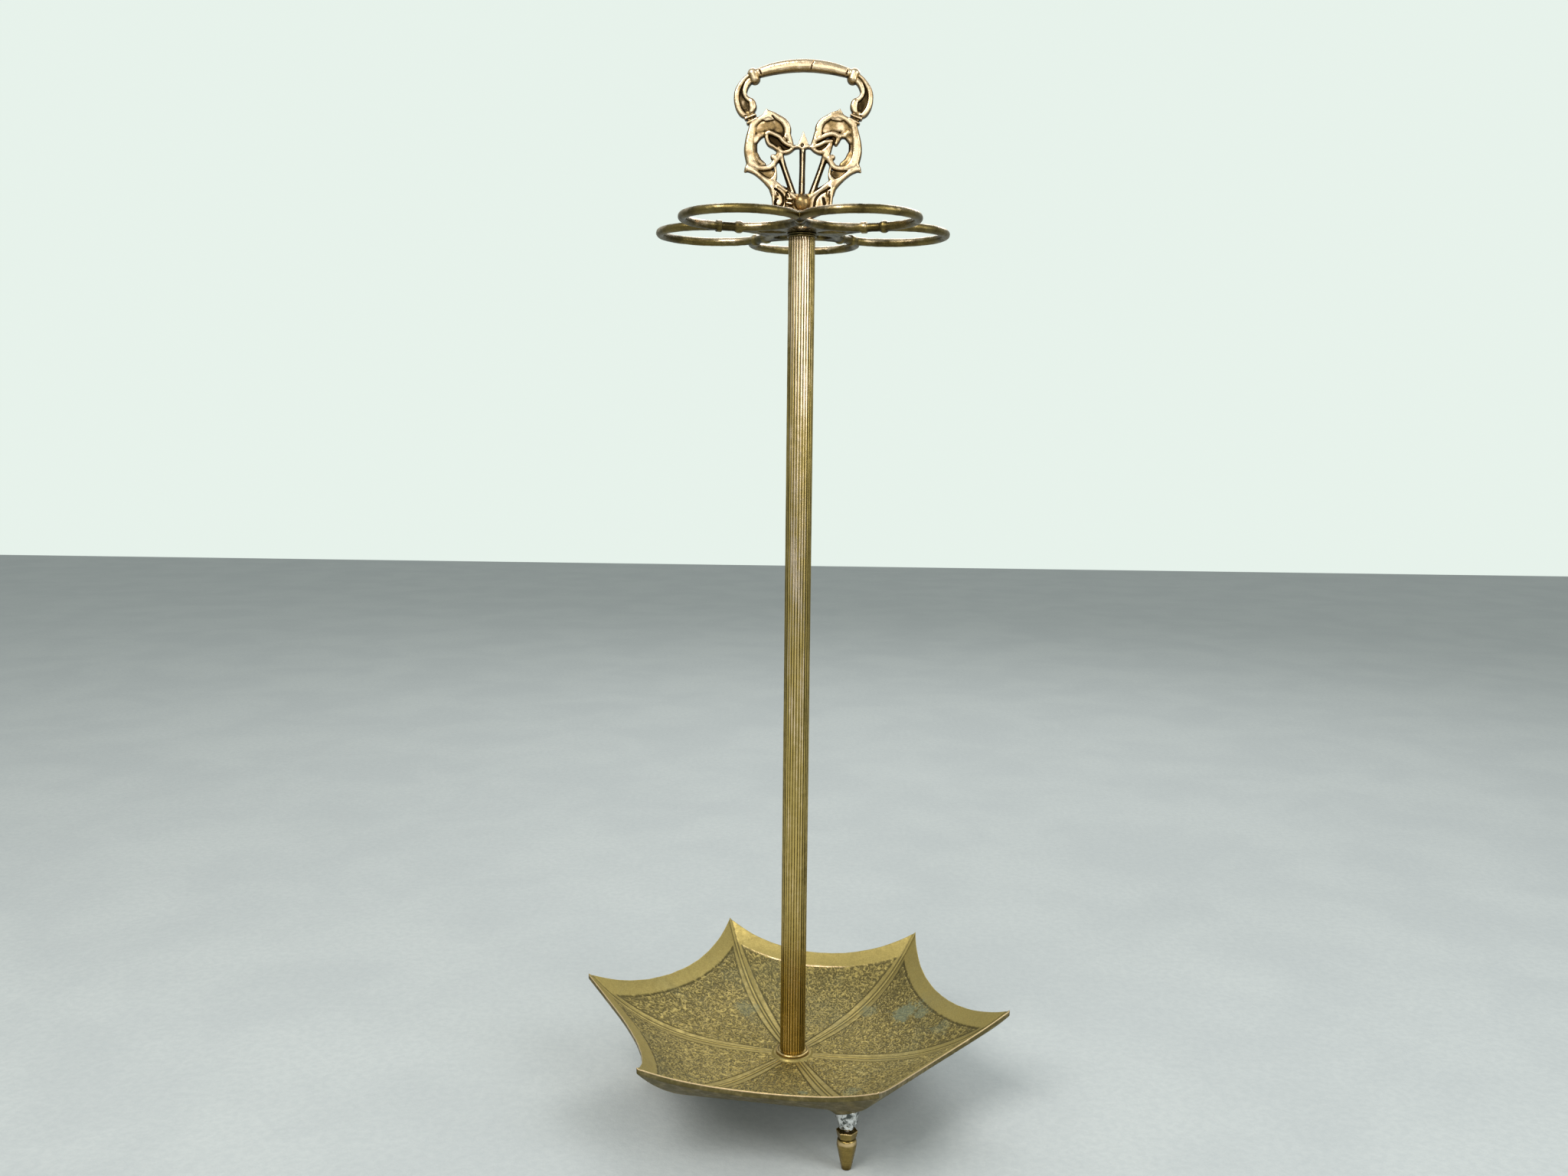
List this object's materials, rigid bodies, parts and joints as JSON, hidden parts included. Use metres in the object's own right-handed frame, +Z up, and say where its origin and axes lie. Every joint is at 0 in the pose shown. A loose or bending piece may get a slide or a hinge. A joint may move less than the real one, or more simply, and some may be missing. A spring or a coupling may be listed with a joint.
{
  "type": "umbrella stand",
  "caption": "Brass umbrella stand: an upturned-umbrella drip tray on feet, a reeded post, a rack of joined rings and an openwork carrying handle.",
  "frame": {"origin": "on the post's axis, at floor level", "axes": "+Z up along the post; the back ring points along +Y and the handle lies in the XZ plane"},
  "size_m": [0.3186, 0.2994, 0.755],
  "materials": {
    "cast_brass": "aged, olive, textured casting",
    "tube_brass": "aged, satin, reeded",
    "rack_brass": "aged, dark, satin",
    "handle_brass": "hand-polished on the high places, dark in the hollows",
    "foot_brass": "turned, satin",
    "solder": "bright, lumpy",
    "steel": "plain, dull"
  },
  "bodies": {
    "root": {"tray": "cast_brass", "foot_front": "foot_brass", "foot_rear": "foot_brass", "foot_left": "foot_brass", "foot_studs": "steel", "solder_repair": "solder", "base_collar": "foot_brass", "post_tube": "tube_brass", "top_collar": "rack_brass", "ring_rack": "rack_brass", "handle": "handle_brass", "tie_rod": "steel", "tie_rod_washer": "steel", "tie_rod_nut": "steel"}
  },
  "joints": []
}
